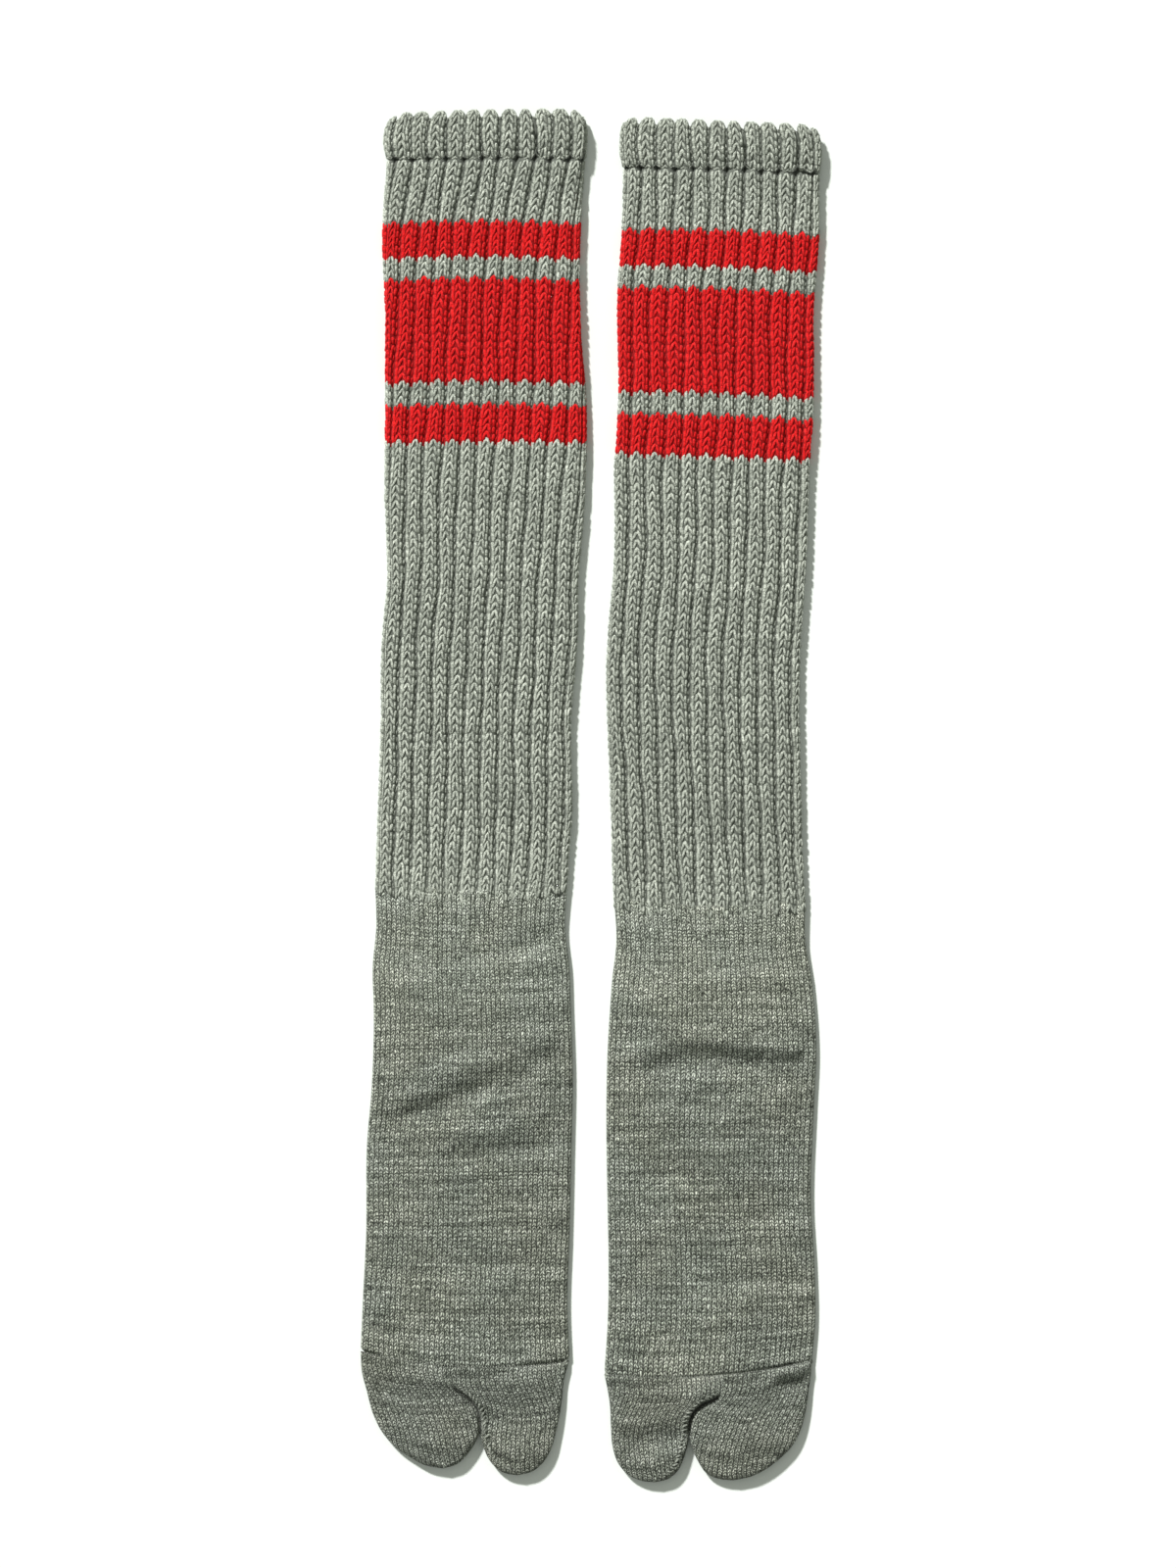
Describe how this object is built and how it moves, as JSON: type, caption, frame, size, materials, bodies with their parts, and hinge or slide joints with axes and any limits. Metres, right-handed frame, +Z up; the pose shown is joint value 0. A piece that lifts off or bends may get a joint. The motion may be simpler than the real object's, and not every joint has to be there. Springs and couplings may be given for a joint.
{
  "type": "pair of split-toe socks",
  "caption": "Long knitted split-toe socks laid flat side by side, with a rolled rib mouth, a striped chunky rib leg, a fine plain foot and a toe piece parted beside the big toe.",
  "frame": {"origin": "middle of the ground that the pair covers, on the surface that it lies on", "axes": "+Y along the socks towards their mouths, toes towards -Y, +X to the right as the pair is seen from above, +Z up"},
  "size_m": [0.212, 0.629, 0.0092],
  "materials": {
    "heather_rib": "chunky heather grey rib knit, soft and slightly hairy",
    "heather_plain_knit": "fine heather grey plain knit, matt",
    "red_stripe": "chunky red rib knit, soft and matt"
  },
  "bodies": {
    "root": {"left_roll": "heather_rib", "left_leg": "heather_rib", "left_foot": "heather_plain_knit", "left_toe": "heather_plain_knit", "right_roll": "heather_rib", "right_leg": "heather_rib", "right_foot": "heather_plain_knit", "right_toe": "heather_plain_knit"}
  },
  "joints": []
}
